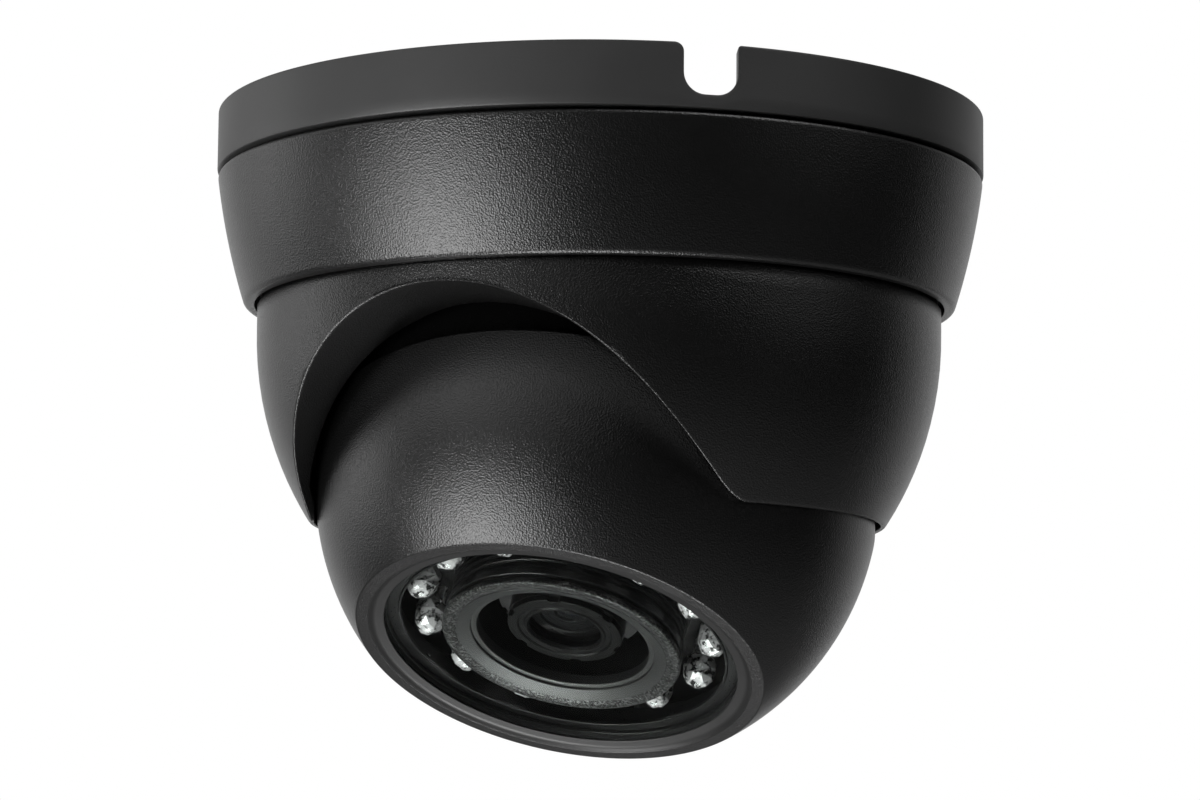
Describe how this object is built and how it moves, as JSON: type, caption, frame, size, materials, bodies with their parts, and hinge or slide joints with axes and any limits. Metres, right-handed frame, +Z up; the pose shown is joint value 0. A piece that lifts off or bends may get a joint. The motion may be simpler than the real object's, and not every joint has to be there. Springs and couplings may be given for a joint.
{
  "type": "turret security camera",
  "caption": "Black ceiling turret camera: a ball with a glass face, lamp ring and lens turns in a scooped skirt under a round base with a cable notch.",
  "frame": {"origin": "centre of the base's face that lies on the ceiling", "axes": "+Z up into the ceiling, the camera hangs below; the cable notch is on -Y"},
  "size_m": [0.0934, 0.0934, 0.0773],
  "materials": {
    "satin_black": "satin black paint",
    "grained_black": "fine grained black powder coat",
    "black_plastic": "matte black moulded plastic",
    "black_rubber": "matte black rubber",
    "plated_steel": "zinc plated steel",
    "dark_aluminium": "black anodised aluminium",
    "circuit_board": "black solder mask",
    "chips": "black moulded chip bodies",
    "connector_white": "ivory connector plastic",
    "brass_posts": "bare brass",
    "copper_coil": "enamelled copper winding",
    "clear_glass": "clear coated glass",
    "lamp_lens": "clear lamp resin"
  },
  "bodies": {
    "base": {"mounting_base": "satin_black", "cover_retainer": "plated_steel", "retainer_screws": "plated_steel"},
    "cover": {"cover_band": "grained_black", "skirt": "grained_black", "cover_lock_screw": "plated_steel"},
    "turntable": {"yoke": "black_plastic", "pan_washer": "black_rubber", "hub_clip": "plated_steel"},
    "collar": {"tilt_collar": "black_plastic", "rear_dome": "black_plastic", "pivot_screws": "plated_steel", "pivot_washers": "plated_steel"},
    "eyeball": {"ball_shell": "grained_black", "front_glass": "clear_glass", "glass_gasket": "black_rubber", "glass_clamp_ring": "black_plastic", "lens_shroud": "black_rubber", "lens_tube": "black_plastic", "led_board": "circuit_board", "ir_leds": "lamp_lens", "light_sensor": "black_plastic", "led_board_screws": "plated_steel", "chassis_plate": "plated_steel", "chassis_screws": "plated_steel", "front_standoffs": "brass_posts", "sensor_board": "circuit_board", "image_sensor": "chips", "lens_holder": "black_plastic", "lens_barrel": "black_plastic", "lens_front_ring": "black_plastic", "lens_lock_ring": "dark_aluminium", "front_lens": "clear_glass", "rear_lens": "clear_glass", "filter_coil": "copper_coil", "rear_standoffs": "brass_posts", "board_connector": "connector_white", "main_board": "circuit_board", "main_chip": "chips", "power_parts": "chips", "board_screws": "plated_steel", "rear_cover": "grained_black", "rear_seal": "black_rubber", "rear_cover_screws": "plated_steel", "cable_gland": "black_plastic", "gland_nut": "black_plastic", "cable_grommet": "black_rubber"},
    "filter": {"filter_tray": "black_plastic", "filter_glasses": "clear_glass", "filter_magnet": "plated_steel"}
  },
  "joints": [
    {"name": "cover_turn", "type": "hinge", "parent": "base", "child": "cover", "pos_m": [0, 0, 0], "axis": [0, 0, 1], "range_deg": [-180, 180]},
    {"name": "pan", "type": "hinge", "parent": "base", "child": "turntable", "pos_m": [0, 0, 0], "axis": [0, 0, 1], "range_deg": [-180, 180]},
    {"name": "tilt", "type": "hinge", "parent": "turntable", "child": "collar", "pos_m": [0, 0, -0.04495], "axis": [-0.7771, 0.6293, 0], "range_deg": [-27.5, 47.5]},
    {"name": "roll", "type": "hinge", "parent": "collar", "child": "eyeball", "pos_m": [0, 0, -0.04495], "axis": [-0.2906, -0.3588, -0.887], "range_deg": [-180, 180]},
    {"name": "filter_shift", "type": "slide", "parent": "eyeball", "child": "filter", "axis": [0.7771, -0.6293, 0], "range_m": [0, 0.007]}
  ]
}
